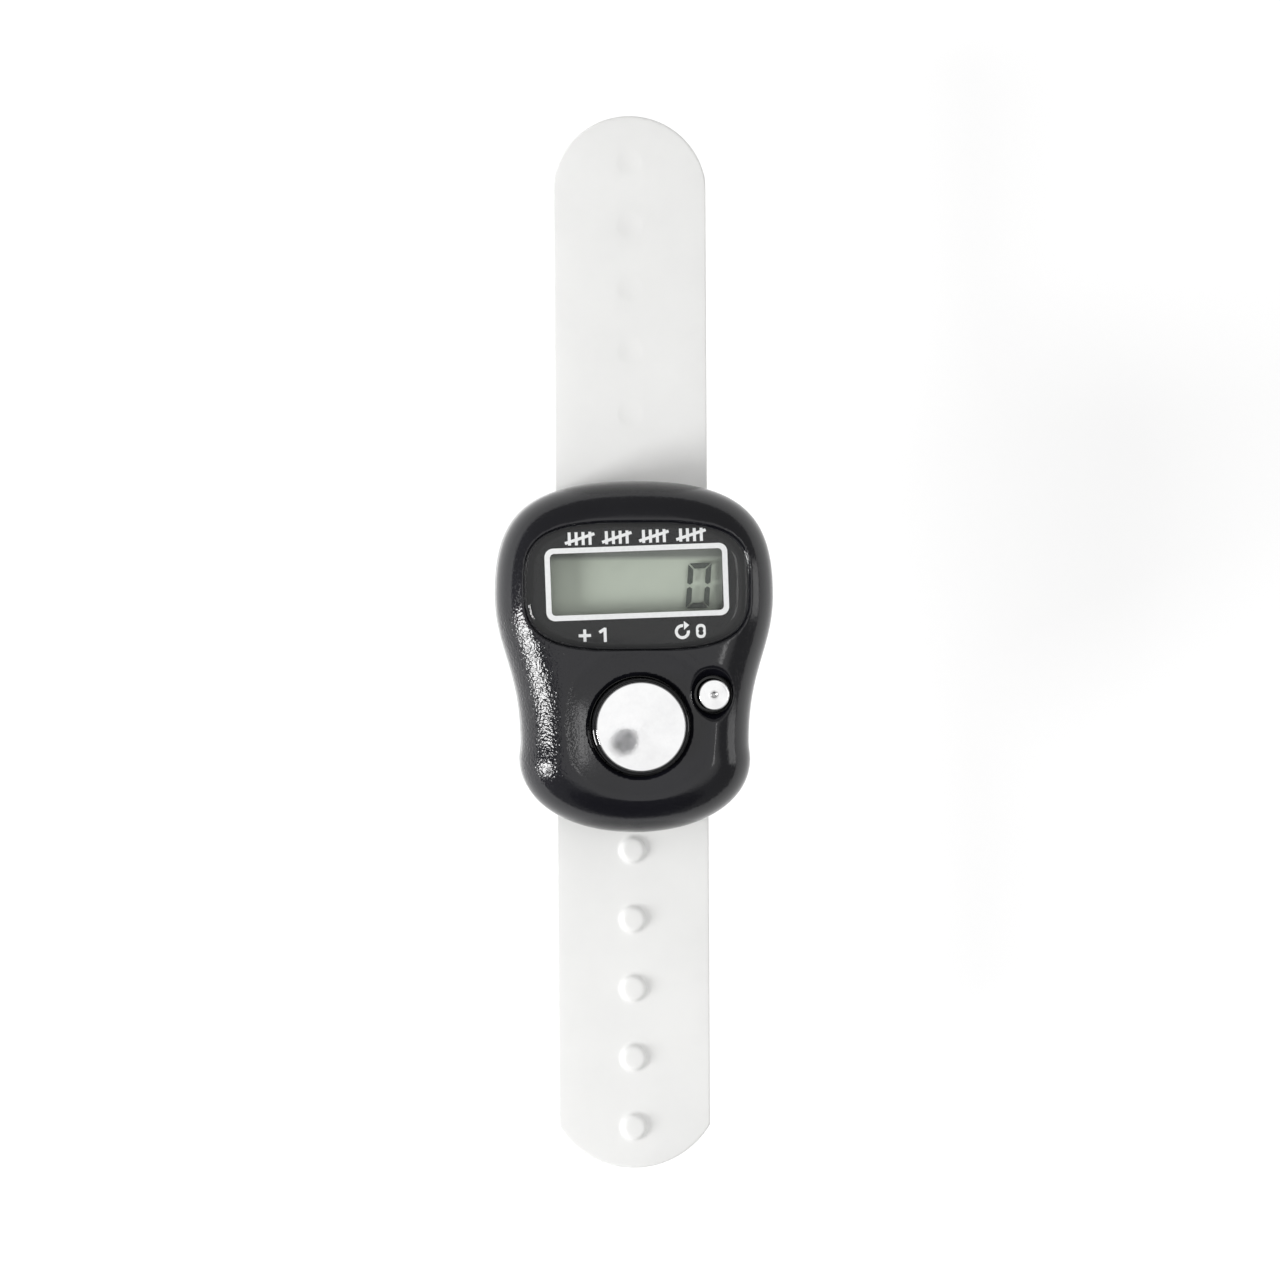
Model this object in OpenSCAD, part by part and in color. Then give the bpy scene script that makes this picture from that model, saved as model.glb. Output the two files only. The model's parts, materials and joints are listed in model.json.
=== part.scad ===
// Finger tally counter: a two-shell case with an LCD, two buttons and a soft strap.
// Millimetres. +Z is up, away from the finger, and +Y runs along the strap towards the display end.
// The origin is under the middle of the whole length, on the plane that the feet rest on.
// Positions in the modules are measured from the middle of the case.

/* [Case] */
// Length of the case along the strap
case_l = 40; // [39:0.1:41]
// Width across the display end
case_w = 31.6; // [30.8:0.1:32]
// Width at the waist beside the count button
waist_w = 25.9; // [25.2:0.1:26]
// Width of the rounded button end
hip_w = 26.2; // [25.8:0.1:26.4]
// Height of the joint between the two shells
part_z = 5.6; // [5.4:0.1:5.8]
// Height of the top shell's crown
crown_z = 13.2; // [13:0.1:13.4]
// Wall thickness of both shells
wall_t = 1.5; // [1.4:0.05:1.6]

/* [Buttons] */
// Radius of the count button's cap
count_r = 5.45; // [5.3:0.05:5.5]
// Radius of the hole that the count button rises through
count_hole_r = 5.7; // [5.65:0.05:5.95]
// Top of the count button
count_top_z = 14.4; // [14.2:0.1:14.6]
// Radius of the reset button's cap
reset_r = 1.75; // [1.7:0.05:1.8]
// Radius of the hole that the reset button rises through
reset_hole_r = 2.15; // [2.1:0.05:2.2]
// Top of the reset button
reset_top_z = 13.1; // [13:0.1:13.2]

/* [Display] */
// Half width of the display window
window_a = 12.6; // [12.4:0.05:12.7]
// Half height of the display window
window_b = 7.1; // [7:0.05:7.15]
// Width of the aperture in front of the liquid crystal cell
aperture_w = 19.5; // [19:0.1:19.6]
// Height of that aperture
aperture_h = 7; // [6.9:0.1:7.1]
// Angle by which the printing and the digits sit askew in the window
print_skew = 1.7; // [0:0.1:1.8]

/* [Strap] */
// Width of the strap
strap_w = 17.5; // [17:0.1:17.5]
// Thickness of the strap
strap_t = 1.2; // [1:0.1:1.25]
// Distance from the case's middle to the socket end of the strap
strap_up = 61.9; // [61:0.1:62]
// Distance from the case's middle to the stud end of the strap
strap_down = 59.2; // [58.5:0.1:59.5]
// Spacing of the snap sockets
socket_pitch = 7.2; // [7.1:0.05:7.25]
// Spacing of the studs
stud_pitch = 8; // [7.95:0.05:8.05]

/* [Hidden] */
$fn = 64;

eps = 0.01;
split_gap = 0.03;                 // each shell stops this far short of the joint plane
waist_y = -9.8;
widest_y = 7.1;
hip_y = -11.6;

// Edge roundings: horizontal reach and vertical reach
crown_reach = 4.2;
crown_side_z = 7.2;
back_reach = 2.6;
back_rise = 3.2;

// Levels through the case, from the finger side up
channel_z = 2.6;                  // roof of the strap channel
back_wall_z = 4.0;
door_recess_z = 3.4;
foot_floor_z = 1.3;
cell_z = 3.7;
cell_top_z = 6.75;
board_z = 7.3;
board_t = 0.8;
board_top_z = board_z + board_t;
ceiling_z = 10.5;
plate_z = 10.9;                   // underside of the plate that the window is glued to
plate_top_z = 11.85;

count_pos = [0.25, -7.7];
reset_pos = [8.6, -4.2];
window_pos = [0, 8.2];
lcd_pos = [0, 8.6];
cell_pos = [0, 1.5];
door_screw_pos = [0, -6.9];
case_screw_pos = [[0, 15.7], [0, -16.35]];
board_screw_pos = [11.2, 1.3];

channel_half = 8.85;
bar_near = 9.5;                   // the strap bars lie between these two distances from the middle
bar_far = 12.3;
bar_top_z = 1.1;
strap_lift = 1.25;                // height of the strap where it crosses the bars
ramp_start = 13;
ramp_end = 18.8;

count_travel = 0.5;
reset_travel = 0.35;

socket_first = 27.8;
stud_first = -22.4;
socket_r = 1.6;
stud_r = 1.45;
hinge_gap = 0.03;                 // half the gap at each bending line
bend_start = 19.3;
upper_hinges = [bend_start, for (i = [0:3]) socket_first + (i - 0.5) * socket_pitch];
lower_hinges = [-bend_start, for (i = [0:3]) stud_first - (i + 0.5) * stud_pitch];

// ---------- outline of the case ----------

function bez(p, t) =
    let (u = 1 - t)
    u * u * u * p[0] + 3 * u * u * t * p[1] + 3 * u * t * t * p[2] + t * t * t * p[3];
function bez_dir(p, t) =
    let (u = 1 - t)
    3 * u * u * (p[1] - p[0]) + 6 * u * t * (p[2] - p[1]) + 3 * t * t * (p[3] - p[2]);
function out_normal(d) = [-d[1], d[0]] / norm(d);

// The right half, from the display end to the button end
half_arcs = [
    [[0, case_l / 2], [0.4 * case_w, case_l / 2], [case_w / 2, widest_y + 8.6], [case_w / 2, widest_y]],
    [[case_w / 2, widest_y], [case_w / 2, widest_y - 6.2], [waist_w / 2, waist_y + 8.5], [waist_w / 2, waist_y]],
    [[waist_w / 2, waist_y], [waist_w / 2, waist_y - 0.6], [hip_w / 2, hip_y + 0.6], [hip_w / 2, hip_y]],
    [[hip_w / 2, hip_y], [hip_w / 2, hip_y - 5], [0.29 * hip_w, -case_l / 2], [0, -case_l / 2]]
];
half_steps = [16, 10, 2, 12];

function right_side(inset) = [
    for (k = [0:3], i = [0:half_steps[k] - 1])
        let (t = i / half_steps[k])
        bez(half_arcs[k], t) - inset * out_normal(bez_dir(half_arcs[k], t))
];
function case_outline(inset) =
    let (right = right_side(inset), n = len(right))
    concat(right, [[0, -case_l / 2 + inset]], [for (i = [n - 1:-1:1]) [-right[i][0], right[i][1]]]);

// An inner curve that closes the crown: the outline pulled towards the middle
function crown_core(pull) = [
    for (p = case_outline(crown_reach))
        [p[0] * (1 - pull), p[1] * (1 - pull / 2)]
];

function super_ellipse(a, b, power, count) = [
    for (i = [0:count - 1])
        let (c = cos(-360 * i / count), s = sin(-360 * i / count))
        [a * sign(c) * pow(abs(c), 2 / power), b * sign(s) * pow(abs(s), 2 / power)]
];

function raise(points, z) = [for (p = points) [p[0], p[1], z]];

// A solid through a stack of closed rings that all run clockwise seen from above
module loft(rings) {
    n = len(rings[0]);
    m = len(rings);
    sides = [
        for (k = [0:m - 2], i = [0:n - 1])
            let (j = (i + 1) % n, a = k * n, b = (k + 1) * n)
            each [[a + i, b + j, b + i], [a + i, a + j, b + j]]
    ];
    bottom = [for (i = [n - 1:-1:0]) i];
    top = [for (i = [0:n - 1]) (m - 1) * n + i];
    polyhedron(points = [for (r = rings) each r], faces = concat([bottom, top], sides), convexity = 6);
}

module case_prism(inset, z0, z1) {
    translate([0, 0, z0]) linear_extrude(z1 - z0) polygon(case_outline(inset));
}

module round_rect(w, h, r) {
    square([w - 2 * r, h], center = true);
    square([w, h - 2 * r], center = true);
    for (sx = [-1, 1], sy = [-1, 1])
        translate([sx * (w / 2 - r), sy * (h / 2 - r)]) circle(r);
}

module box(x0, x1, y0, y1, z0, z1) {
    translate([x0, y0, z0]) cube([x1 - x0, y1 - y0, z1 - z0]);
}

module rod(pos, r, z0, z1) {
    translate([pos[0], pos[1], z0]) cylinder(h = z1 - z0, r = r);
}

module cone(pos, r0, r1, z0, z1) {
    translate([pos[0], pos[1], z0]) cylinder(h = z1 - z0, r1 = r0, r2 = r1);
}

// ---------- case ----------

crown_steps = 8;
dish_r = 34;                      // radius of the shallow dish around the count button
dish_z = 11.9;

module crown_solid() {
    z0 = part_z + split_gap;
    loft(concat(
        [raise(case_outline(0), z0)],
        [for (i = [0:crown_steps])
            let (a = 90 * i / crown_steps)
            raise(case_outline(crown_reach * (1 - cos(a))),
                  crown_side_z + (crown_z - 0.4 - crown_side_z) * sin(a))],
        [raise(crown_core(0.35), crown_z - 0.1), raise(crown_core(0.65), crown_z)]
    ));
}

module top_shell() {
    color([0.03, 0.03, 0.035]) {
        difference() {
            crown_solid();
            case_prism(wall_t, part_z - 1, 9.5);
            case_prism(wall_t + 1.1, 9, ceiling_z);
            translate([count_pos[0], count_pos[1], dish_z + dish_r]) sphere(dish_r);
            translate([window_pos[0], window_pos[1], plate_top_z]) linear_extrude(5)
                polygon(super_ellipse(window_a + 0.2, window_b + 0.17, window_power, 72));
            translate([lcd_pos[0], lcd_pos[1], 9]) linear_extrude(plate_z - 9) square([23.4, 10.8], center = true);
            translate([lcd_pos[0], lcd_pos[1], 10]) linear_extrude(3) square([aperture_w + 0.6, aperture_h + 0.6], center = true);
            rod(count_pos, count_hole_r, 9, 16);
            rod(count_pos, count_hole_r + 0.35, 12.12, 16);
            rod(reset_pos, reset_hole_r, 9, 16);
            cone(reset_pos, reset_hole_r, reset_hole_r + 2, 12.05, 14.05);
            rod(reset_pos, reset_r + 1.15, 9, ceiling_z);
        }
        for (p = case_screw_pos)
            difference() {
                rod(p, 1.7, 5.2, ceiling_z + 0.6);
                rod(p, 0.86, 5, 9);
            }
        for (s = [-1, 1]) {
            difference() {
                rod([s * board_screw_pos[0], board_screw_pos[1]], 1.5, board_top_z, ceiling_z + 0.3);
                rod([s * board_screw_pos[0], board_screw_pos[1]], 0.71, 8, 10.2);
            }
        }
    }
}

back_steps = 7;

module back_solid() {
    loft(concat(
        [for (i = [0:back_steps])
            let (a = 90 * (1 - i / back_steps))
            raise(case_outline(back_reach * (1 - cos(a))), back_rise * (1 - sin(a)))],
        [raise(case_outline(0), part_z - split_gap)]
    ));
}

module back_shell() {
    color([0.03, 0.03, 0.035]) {
        difference() {
            back_solid();
            box(-channel_half, channel_half, -30, 30, -1, channel_z);
            difference() {
                case_prism(wall_t + 0.3, foot_floor_z, part_z + 1);
                box(-channel_half - 1.2, channel_half + 1.2, -30, 30, 0, back_wall_z);
            }
            translate([0, -0.3, channel_z - 1]) linear_extrude(door_recess_z - channel_z + 1) round_rect(14.2, 17.4, 1.5);
            rod(cell_pos, 5.95, 3, 5);
            rod(door_screw_pos, 0.76, 3, 5);
            box(-3.1, 3.1, 8, 9.45, 2.9, door_recess_z);
            for (p = case_screw_pos) {
                rod(p, 1.6, 2, 3.6);
                rod(p, 1, 2, 6);
            }
        }
        strap_bars();
        cell_well();
        back_bosses();
        lip();
    }
}

module strap_bars() {
    for (s = [-1, 1])
        box(-channel_half - 0.4, channel_half + 0.4,
            min(s * bar_near, s * bar_far), max(s * bar_near, s * bar_far), 0, bar_top_z);
}

module cell_well() {
    difference() {
        rod(cell_pos, 6.95, back_wall_z - 0.2, 7.1);
        rod(cell_pos, 5.95, 3, 8);
        box(5, 8, cell_pos[1] - 1.9, cell_pos[1] + 1.9, back_wall_z + 0.1, 8);
        rod(door_screw_pos, 1.6, 3, 8);
    }
}

module back_bosses() {
    difference() {
        rod(door_screw_pos, 1.6, back_wall_z - 0.2, 6.6);
        rod(door_screw_pos, 0.76, 3, 6.2);
    }
    for (p = case_screw_pos)
        difference() {
            rod(p, 1.7, back_wall_z - 0.2, 5.1);
            rod(p, 1, 3, 6);
        }
}

// The tongue that locates the back shell inside the top shell
module lip() {
    difference() {
        case_prism(wall_t + 0.06, part_z - 0.8, part_z + 0.9);
        case_prism(wall_t + 0.75, part_z - 1, part_z + 2);
        for (p = case_screw_pos) rod(p, 1.9, 5.15, part_z + 2);
    }
}

module battery_door() {
    color([0.035, 0.035, 0.04]) difference() {
        union() {
            translate([0, -0.3, channel_z]) linear_extrude(door_recess_z - channel_z - 0.05) round_rect(14, 17.2, 1.4);
            rod(cell_pos, 5.6, door_recess_z - 0.1, cell_z - 0.02);
            box(-2.9, 2.9, 8, 9.3, 2.95, door_recess_z - 0.05);
        }
        rod(door_screw_pos, 0.8, 2, 5);
        cone(door_screw_pos, 1.4, 0.8, channel_z - eps, channel_z + 0.6);
        // finger notch
        box(-2.5, 2.5, 7.4, 7.9, channel_z - eps, channel_z + 0.3);
    }
}

// ---------- fasteners ----------

module cross_slot(pos, z0, z1, w) {
    for (a = [0, 90])
        translate([pos[0], pos[1], (z0 + z1) / 2]) rotate([0, 0, a]) cube([w, 0.32, z1 - z0], center = true);
}

// A pan-head screw pointing up, with turned grooves for its thread
module pan_screw(pos, head_r, head_h, shank_r, z0, z1) {
    pitch = 0.45;
    depth = 0.12;
    turns = floor((z1 - z0 - head_h - 0.8) / pitch);
    difference() {
        union() {
            cone(pos, head_r - 0.25, head_r, z0, z0 + 0.25);
            rod(pos, head_r, z0 + 0.25, z0 + head_h);
            rod(pos, shank_r - depth, z0 + head_h - 0.1, z1 - 0.5);
            for (i = [0:turns - 1])
                cone(pos, shank_r, shank_r - depth, z0 + head_h + 0.2 + i * pitch, z0 + head_h + 0.2 + (i + 0.8) * pitch);
            cone(pos, shank_r - depth, 0.15, z1 - 0.5 - eps, z1);
        }
        cross_slot(pos, z0 - 1, z0 + 0.45, head_r * 1.15);
    }
}

module case_screws() {
    color([0.62, 0.62, 0.64]) for (p = case_screw_pos) pan_screw(p, 1.45, 0.85, 0.85, 2.72, 8.4);
}

module board_screws() {
    color([0.62, 0.62, 0.64]) for (s = [-1, 1])
        pan_screw([s * board_screw_pos[0], board_screw_pos[1]], 1.3, 0.75, 0.7, board_z - 0.75, 10);
}

module door_screw() {
    color([0.62, 0.62, 0.64]) difference() {
        union() {
            cone(door_screw_pos, 1.3, 0.75, channel_z + 0.02, channel_z + 0.6);
            rod(door_screw_pos, 0.62, channel_z + 0.55, 5.5);
            for (i = [0:4])
                cone(door_screw_pos, 0.74, 0.62, 3.3 + 0.42 * i, 3.3 + 0.42 * i + 0.34);
            cone(door_screw_pos, 0.62, 0.15, 5.5 - eps, 6);
        }
        cross_slot(door_screw_pos, channel_z - 1, channel_z + 0.35, 1.6);
    }
}

// ---------- display ----------

mask_t = 0.05;
window_power = 3.3;

module display_window() {
    // inset at the ends, inset at the long sides and height of each ring, from the glued face up over the edge
    profile = [
        [0, 0, plate_top_z + 2 * mask_t], [0, 0, 12.2], [0.12, 0.05, 12.4], [0.4, 0.14, 12.6],
        [0.9, 0.3, 12.77], [1.5, 0.45, 12.88], [2.2, 0.6, 12.95]
    ];
    color([0.85, 0.9, 0.9, 0.3]) translate([window_pos[0], window_pos[1], 0])
        loft([for (p = profile) raise(super_ellipse(window_a - p[0], window_b - p[1], window_power, 72), p[2])]);
}

module display_mask() {
    color([0.01, 0.01, 0.01]) translate([window_pos[0], window_pos[1], plate_top_z]) linear_extrude(mask_t) difference() {
        polygon(super_ellipse(window_a - 0.1, window_b - 0.1, window_power, 72));
        translate([lcd_pos[0] - window_pos[0], lcd_pos[1] - window_pos[1]]) rotate([0, 0, print_skew])
            round_rect(aperture_w, aperture_h, 0.5);
    }
}

line_w = 0.34;                    // stroke of the printed signs

module stroke(x0, y0, x1, y1) {
    d = [x1 - x0, y1 - y0];
    translate([(x0 + x1) / 2, (y0 + y1) / 2]) rotate([0, 0, atan2(d[1], d[0])]) square([norm(d), line_w], center = true);
}

// Four upright strokes and one across: a count of five
module tally_sign() {
    for (i = [0:3]) stroke(-1.17 + 0.78 * i, -0.74, -1.17 + 0.78 * i, 0.74);
    stroke(-1.68, -0.5, 1.68, 0.5);
}

module plus_one_sign() {
    stroke(-1.9, 0, -0.5, 0);
    stroke(-1.2, -0.7, -1.2, 0.7);
    stroke(1.1, -0.8, 1.1, 0.8);
    stroke(0.45, 0.3, 1.15, 0.72);
}

// An open ring with an arrow head: back to nought
module reset_sign() {
    difference() {
        circle(0.85);
        circle(0.85 - line_w);
        polygon([[0, 0], [0.35, 2], [2, 2], [2, 0.3]]);
    }
    polygon([[0.2, 1.2], [0.2, 0.2], [0.8, 0.72]]);
    translate([2.1, 0]) difference() {
        round_rect(1.1, 1.6, 0.5);
        round_rect(1.1 - 2 * line_w, 1.6 - 2 * line_w, 0.25);
    }
}

module white_print() {
    color([0.92, 0.92, 0.92]) translate([lcd_pos[0], lcd_pos[1], plate_top_z + mask_t]) linear_extrude(mask_t)
        rotate([0, 0, print_skew]) {
            difference() {
                round_rect(aperture_w + 1.2, aperture_h + 1.2, 1);
                round_rect(aperture_w, aperture_h, 0.5);
            }
            for (x = [-6.3, -2.1, 2.1, 6.3]) translate([x, 5.12]) tally_sign();
            translate([-4.9, -5.85]) plus_one_sign();
            translate([4.95, -5.8]) reset_sign();
        }
}

front_glass_z = 10.02;
lcd_w = 22.8;
lcd_h = 10.4;
ledge = 1.15;                      // the front glass overhangs the rear glass here, over the connector

module lcd_slab(w, h, z0, z1, low_trim = 0) {
    box(lcd_pos[0] - w / 2, lcd_pos[0] + w / 2, lcd_pos[1] - h / 2 + low_trim, lcd_pos[1] + h / 2, z0, z1);
}

module lcd_front_polariser() {
    color([0.6, 0.63, 0.56, 0.4]) lcd_slab(lcd_w - 0.8, lcd_h - 1, 10.67, 10.82);
}

module lcd_front_glass() {
    color([0.75, 0.8, 0.75, 0.4]) lcd_slab(lcd_w, lcd_h, front_glass_z, 10.66);
}

module lcd_rear_glass() {
    color([0.75, 0.8, 0.75, 0.4]) lcd_slab(lcd_w, lcd_h, 9.38, 9.97, ledge);
}

module lcd_reflector() {
    color([0.62, 0.66, 0.58]) lcd_slab(lcd_w - 0.6, lcd_h - 0.4, 9.2, 9.37, ledge);
}

digit_w = 2.65;
digit_h = 5.1;
digit_bar = 0.62;
digit_slant = 0.1;
digit_centre = [7.12, lcd_pos[1] - 0.48];

// One bar of a seven-bar digit, with mitred ends: along X, its middle at the origin
module digit_bar_flat(length) {
    h = digit_bar / 2;
    polygon([[-length / 2, h], [length / 2, h], [length / 2 - 2 * h, -h], [-length / 2 + 2 * h, -h]]);
}

module digit_zero() {
    gap = 0.12;
    for (s = [-1, 1]) {
        translate([0, s * (digit_h - digit_bar) / 2]) mirror([0, s < 0 ? 1 : 0]) digit_bar_flat(digit_w - 2 * gap);
        for (v = [-1, 1])
            translate([s * (digit_w - digit_bar) / 2, v * (digit_h / 4)])
                polygon([
                    [s * digit_bar / 2, v * (digit_h / 4 - gap)],
                    [-s * digit_bar / 2, v * (digit_h / 4 - gap - digit_bar)],
                    [-s * digit_bar / 2, -v * (digit_h / 4 - gap - 0.2)],
                    [0, -v * (digit_h / 4 - gap)],
                    [s * digit_bar / 2, -v * (digit_h / 4 - gap - 0.2)]
                ]);
    }
}

module lcd_segments() {
    slant = [[1, digit_slant, 0, 0], [0, 1, 0, 0], [0, 0, 1, 0], [0, 0, 0, 1]];
    color([0.15, 0.17, 0.16]) translate([digit_centre[0], digit_centre[1], 9.98])
        linear_extrude(0.03) rotate([0, 0, print_skew]) multmatrix(slant) digit_zero();
}

module zebra_connector() {
    y0 = lcd_pos[1] - lcd_h / 2;
    color([0.75, 0.45, 0.5]) box(-10.4, 10.4, y0 + 0.1, y0 + ledge - 0.1, board_top_z, front_glass_z);
}

// ---------- electronics ----------

module circuit_board() {
    color([0.07, 0.3, 0.14]) translate([0, 0, board_z]) linear_extrude(board_t) difference() {
        union() {
            translate([0, 6.6]) round_rect(25, 14, 3);
            translate([0, -5.4]) round_rect(21.9, 16, 2.5);
        }
        for (s = [-1, 1]) translate([s * board_screw_pos[0], board_screw_pos[1]]) circle(0.85);
        for (s = [-1, 1]) translate([s * 8.4, -11.4]) circle(0.5);
    }
}

module chip_epoxy() {
    color([0.02, 0.02, 0.02]) translate([0, 9.4, board_top_z])
        rotate_extrude() polygon([[0, 0], [3.5, 0], [3.4, 0.25], [2.9, 0.55], [2, 0.78], [1, 0.88], [0, 0.9]]);
}

module chip_part(pos, w, l, h) {
    translate([pos[0] - w / 2, pos[1] - l / 2, board_top_z]) cube([w, l, h]);
}

module chip_capacitors() {
    color([0.55, 0.43, 0.3]) for (x = [-6.6, -4.6]) chip_part([x, 1.4], 0.8, 1.6, 0.7);
}

module chip_resistor() {
    color([0.03, 0.03, 0.03]) chip_part([-8.6, 1.4], 0.8, 1.6, 0.45);
}

// A push switch: square body with a round well, a steel cover and a domed contact under a plunger
module switch_base(pos, side, well_r, z1, well_z) {
    difference() {
        box(pos[0] - side / 2, pos[0] + side / 2, pos[1] - side / 2, pos[1] + side / 2, board_top_z, z1);
        rod(pos, well_r, well_z, z1 + 1);
    }
}

module switch_cover(pos, side, hole_r, z0, t) {
    difference() {
        union() {
            box(pos[0] - side / 2, pos[0] + side / 2, pos[1] - side / 2, pos[1] + side / 2, z0, z0 + t);
            for (s = [-1, 1])
                box(pos[0] + s * side / 2 - (s > 0 ? 0 : t), pos[0] + s * side / 2 + (s > 0 ? t : 0),
                    pos[1] - side / 4, pos[1] + side / 4, z0 - 0.9, z0 + t);
        }
        rod(pos, hole_r, z0 - 1, z0 + 1);
    }
}

module switch_dome(pos, r, rise, t, z0) {
    ball = (r * r + rise * rise) / (2 * rise);
    difference() {
        intersection() {
            translate([pos[0], pos[1], z0 + rise - ball]) sphere(ball);
            rod(pos, r, z0, z0 + rise + 1);
        }
        translate([pos[0], pos[1], z0 + rise - ball]) sphere(ball - t);
    }
}

count_well_z = 9.1;
count_base_z = 11.35;
count_plunger_z = 12.4;

module count_switch_base() {
    color([0.04, 0.04, 0.04]) switch_base(count_pos, 6, 2.6, count_base_z, count_well_z);
}

module count_switch_dome() {
    color([0.75, 0.75, 0.72]) switch_dome(count_pos, 2.4, 0.7, 0.1, count_well_z);
}

module count_switch_cover() {
    color([0.7, 0.7, 0.72]) switch_cover(count_pos, 6, 1.85, count_base_z, 0.15);
}

module count_plunger() {
    color([0.05, 0.05, 0.05]) {
        rod(count_pos, 2.3, count_well_z + 0.75, count_well_z + 1.45);
        rod(count_pos, 1.75, count_well_z + 1.4, count_plunger_z);
    }
}

// The cap: a plated cup with a flange under the shell and a rounded top edge
module count_button() {
    edge = 0.5;
    color([0.85, 0.85, 0.87]) translate([count_pos[0], count_pos[1], 0]) difference() {
        union() {
            translate([0, 0, 9.65]) cylinder(h = 0.75, r = count_r + 0.75);
            translate([0, 0, 10.3]) cylinder(h = count_top_z - edge - 10.3, r = count_r);
            rotate_extrude() translate([count_r - edge, count_top_z - edge]) circle(edge);
            translate([0, 0, count_top_z - 1]) cylinder(h = 1, r = count_r - edge);
        }
        difference() {
            translate([0, 0, 9]) cylinder(h = 4.4, r = 4.7);
            translate([0, 0, count_plunger_z]) cylinder(h = 2, r = 1.5);
        }
    }
}

reset_well_z = 8.35;
reset_base_z = 9.3;
reset_plunger_z = 9.87;

module reset_switch_base() {
    color([0.04, 0.04, 0.04]) switch_base(reset_pos, 4.2, 1.7, reset_base_z, reset_well_z);
}

module reset_switch_dome() {
    color([0.75, 0.75, 0.72]) switch_dome(reset_pos, 1.55, 0.42, 0.07, reset_well_z);
}

module reset_switch_cover() {
    color([0.7, 0.7, 0.72]) switch_cover(reset_pos, 4.2, 1.1, reset_base_z, 0.12);
}

module reset_plunger() {
    color([0.05, 0.05, 0.05]) {
        rod(reset_pos, 1.4, reset_well_z + 0.45, reset_well_z + 0.8);
        rod(reset_pos, 1, reset_well_z + 0.7, reset_plunger_z);
    }
}

module reset_button() {
    edge = 0.3;
    dimple_r = 2.2;
    color([0.85, 0.85, 0.87]) translate([reset_pos[0], reset_pos[1], 0]) difference() {
        union() {
            translate([0, 0, reset_plunger_z]) cylinder(h = 0.55, r = reset_r + 0.85);
            translate([0, 0, reset_plunger_z + 0.5]) cylinder(h = reset_top_z - edge - reset_plunger_z - 0.5, r = reset_r);
            rotate_extrude() translate([reset_r - edge, reset_top_z - edge]) circle(edge);
            translate([0, 0, reset_top_z - 1]) cylinder(h = 1, r = reset_r - edge);
        }
        translate([0, 0, reset_top_z + dimple_r - 0.2]) sphere(dimple_r);
    }
}

// An 11.6 mm button cell: can, seal and cap turned as one profile
module button_cell() {
    color([0.8, 0.8, 0.8]) translate([cell_pos[0], cell_pos[1], 0]) {
        translate([0, 0, cell_z]) cylinder(h = 0.25, r1 = 5.55, r2 = 5.8);
        translate([0, 0, cell_z + 0.25]) cylinder(h = 2.15, r = 5.8);
        translate([0, 0, cell_z + 2.4]) cylinder(h = 0.25, r1 = 5.8, r2 = 5.5);
        translate([0, 0, cell_z + 2.6]) cylinder(h = cell_top_z - cell_z - 2.75, r = 4.9);
        translate([0, 0, cell_top_z - 0.16]) cylinder(h = 0.16, r1 = 4.9, r2 = 4.7);
    }
}

module positive_contact() {
    t = 0.18;
    x = 5.82;
    y = cell_pos[1];
    color([0.78, 0.75, 0.6]) {
        box(x, x + t, y - 1.5, y + 1.5, 4.4, board_z);
        box(x, x + 2.6, y - 1.5, y + 1.5, board_z - t, board_z);
    }
}

module negative_contact() {
    y = cell_pos[1];
    t = 0.15;
    color([0.78, 0.75, 0.6]) translate([0, y + 1.2, 0]) rotate([90, 0, 0]) linear_extrude(2.4) polygon([
        [-4, board_z], [-4, board_z - t], [-2.5, board_z - t], [-0.9, cell_top_z],
        [0.9, cell_top_z], [2.5, board_z - t], [4, board_z - t], [4, board_z],
        [2.4, board_z], [0.8, cell_top_z + t], [-0.8, cell_top_z + t], [-2.4, board_z]
    ]);
}

// ---------- strap ----------

// Height of the strap's underside at distance y from the middle: over the bars, then down to the table
function strap_rise(y) =
    let (s = min(1, max(0, (abs(y) - ramp_start) / (ramp_end - ramp_start))))
    strap_lift * (1 - s * s * (3 - 2 * s));

ramp_steps = 8;

function strap_stations(y0, y1) = concat(
    [y0],
    [for (side = [-1, 1], i = [0:ramp_steps])
        let (k = side < 0 ? ramp_steps - i : i,
             y = side * (ramp_start + (ramp_end - ramp_start) * k / ramp_steps))
        if (y > y0 + eps && y < y1 - eps) y],
    [y1]
);

// A stretch of the strap between two stations, as a ribbon of constant thickness
module ribbon(y0, y1) {
    ys = strap_stations(y0, y1);
    under = [for (y = ys) [y, strap_rise(y)]];
    over = [for (i = [len(ys) - 1:-1:0]) [ys[i], strap_rise(ys[i]) + strap_t]];
    translate([-strap_w / 2, 0, 0]) rotate([90, 0, 90]) linear_extrude(strap_w) polygon(concat(under, over));
}

// Rounded ends: a disc that meets the sides at a slight corner
module end_round(tip_y, r) {
    s = sign(tip_y);
    intersection() {
        children();
        union() {
            rod([0, tip_y - s * r], r, -1, 9);
            box(-strap_w, strap_w, min(0, tip_y - s * 9.5), max(0, tip_y - s * 9.5), -1, 9);
        }
    }
}

// A low round stud with a small flat on top
module stud(y) {
    translate([0, y, strap_t - 0.1]) {
        cylinder(h = 0.4, r = stud_r);
        translate([0, 0, 0.4]) cylinder(h = 0.2, r1 = stud_r, r2 = stud_r - 0.1);
        translate([0, 0, 0.6]) cylinder(h = 0.15, r1 = stud_r - 0.1, r2 = stud_r - 0.35);
    }
}

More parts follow.
